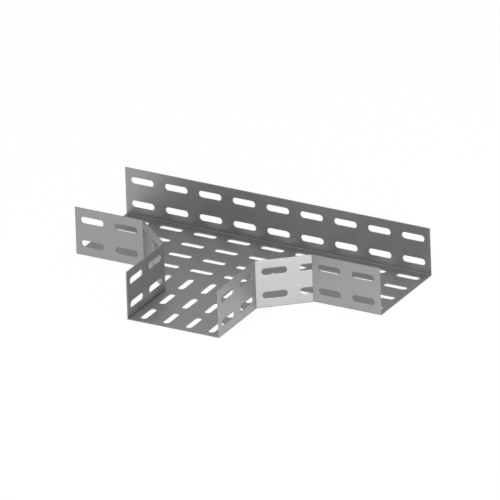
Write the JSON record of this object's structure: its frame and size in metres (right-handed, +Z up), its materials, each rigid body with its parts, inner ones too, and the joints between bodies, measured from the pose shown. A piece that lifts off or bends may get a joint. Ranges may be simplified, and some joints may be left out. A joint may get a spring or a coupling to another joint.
{
  "type": "cable tray tee",
  "caption": "Flat tee junction of perforated galvanised cable tray: an open run with a side branch, slanted corner walls and round-ended slots in floor and walls.",
  "frame": {"origin": "on the underside of the floor, where the middle lines of the run and of the branch cross", "axes": "+X along the run to the right, +Y from the branch towards the back wall, +Z up out of the tray"},
  "size_m": [0.3376, 0.2135, 0.0505],
  "materials": {
    "galvanised_sheet": "pre-galvanised steel sheet, dull grey with a faint spangle"
  },
  "bodies": {
    "root": {"tray_body": "galvanised_sheet", "left_corner_wall": "galvanised_sheet", "right_corner_wall": "galvanised_sheet"}
  },
  "joints": []
}
